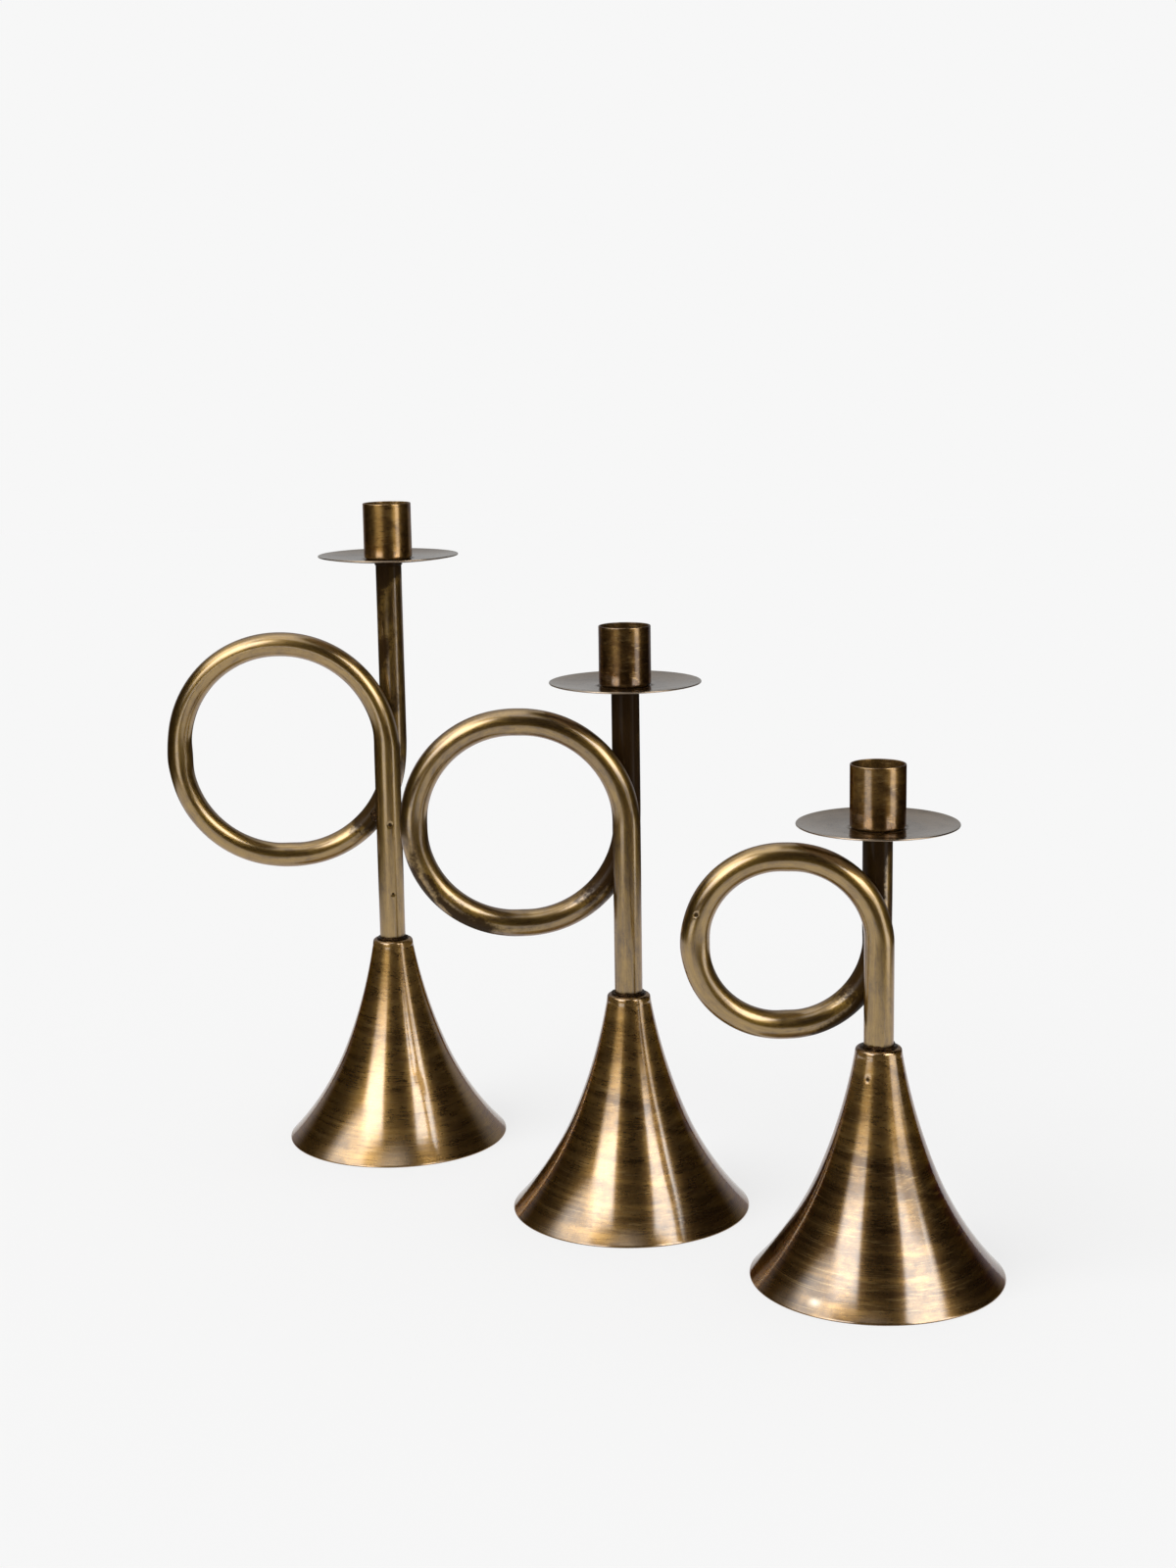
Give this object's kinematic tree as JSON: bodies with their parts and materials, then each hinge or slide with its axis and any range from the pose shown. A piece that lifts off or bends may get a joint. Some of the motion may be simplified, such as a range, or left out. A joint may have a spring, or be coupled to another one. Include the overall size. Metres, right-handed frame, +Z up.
{
  "type": "looped tube candle holder set",
  "caption": "Graduated antique brass candle holders: a bell base, a tube with a full loop in it, a drip pan and a cup for one dinner candle on each.",
  "frame": {"origin": "on the table, under the middle of the set's box", "axes": "+Z up; -Y is the front, which the picture looks at; +X from the tall holder to the short one"},
  "size_m": [0.3938, 0.3138, 0.3256],
  "materials": {
    "bell_brass": "antique brass, spun and brushed round the axis, lacquered, satin",
    "tube_brass": "antique brass, brushed along the tube, with dark patina patches",
    "collar_brass": "blackened brass, satin",
    "pan_brass": "antique brass, turned, grey brown, satin with a bright rim",
    "cup_brass": "antique brass, turned and brushed round the axis, bright lip",
    "screw_brass": "turned brass, satin",
    "braze_metal": "blackened braze, lumpy, half gloss"
  },
  "bodies": {
    "root": {"tall_bell_base": "bell_brass", "tall_loop_tube": "tube_brass", "tall_tube_plug": "collar_brass", "tall_drip_pan": "pan_brass", "tall_candle_cup": "cup_brass", "tall_cup_screw": "screw_brass", "tall_braze_bead": "braze_metal", "tall_weld_tack": "braze_metal", "middle_bell_base": "bell_brass", "middle_loop_tube": "tube_brass", "middle_tube_plug": "collar_brass", "middle_drip_pan": "pan_brass", "middle_candle_cup": "cup_brass", "middle_cup_screw": "screw_brass", "middle_braze_bead": "braze_metal", "short_bell_base": "bell_brass", "short_loop_tube": "tube_brass", "short_tube_plug": "collar_brass", "short_drip_pan": "pan_brass", "short_candle_cup": "cup_brass", "short_cup_screw": "screw_brass", "short_braze_bead": "braze_metal"}
  },
  "joints": []
}
